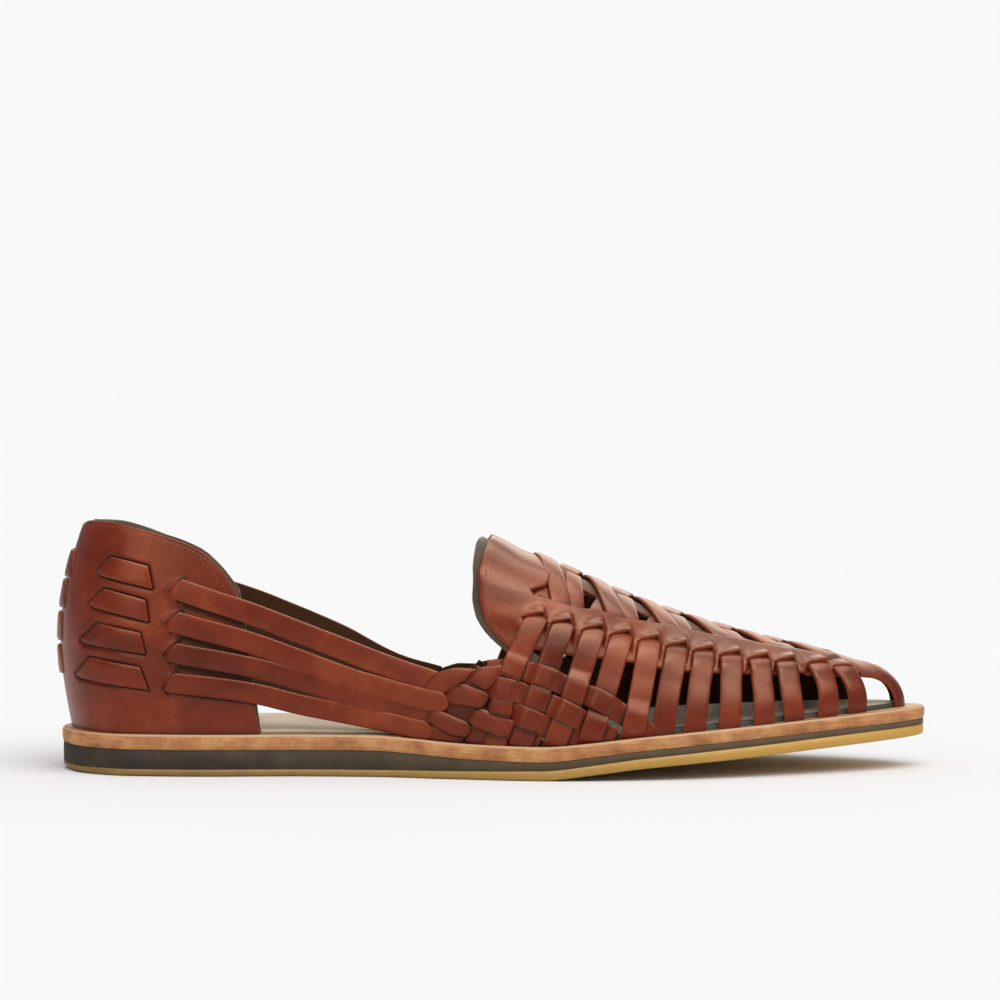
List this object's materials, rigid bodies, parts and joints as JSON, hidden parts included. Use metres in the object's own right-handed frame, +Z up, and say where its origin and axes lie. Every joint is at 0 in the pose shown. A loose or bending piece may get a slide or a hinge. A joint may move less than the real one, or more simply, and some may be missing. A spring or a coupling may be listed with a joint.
{
  "type": "huarache sandal",
  "caption": "Woven leather huarache sandal with a slit heel counter, quarter straps, side strips, open toe sides and a flat layered sole.",
  "frame": {"origin": "middle of the bounding box, on the floor under the sole", "axes": "+X points to the toe, +Z up, +Y to the inner side of the foot"},
  "size_m": [0.2905, 0.0979, 0.0836],
  "materials": {
    "honey_rubber": "matt natural crepe-like rubber, a little dusty",
    "dark_foam": "matt close-celled foam rubber, dark brown-black",
    "sole_leather": "edge of vegetable-tanned sole leather, sanded and lightly burnished",
    "sock_leather": "natural lining leather, smooth and matt",
    "upper_leather": "smooth waxed red-brown leather with soft shine and lighter cut edges"
  },
  "bodies": {
    "root": {"outsole": "honey_rubber", "midsole": "dark_foam", "leather_midsole": "sole_leather", "insole": "sock_leather", "upper": "upper_leather"}
  },
  "joints": []
}
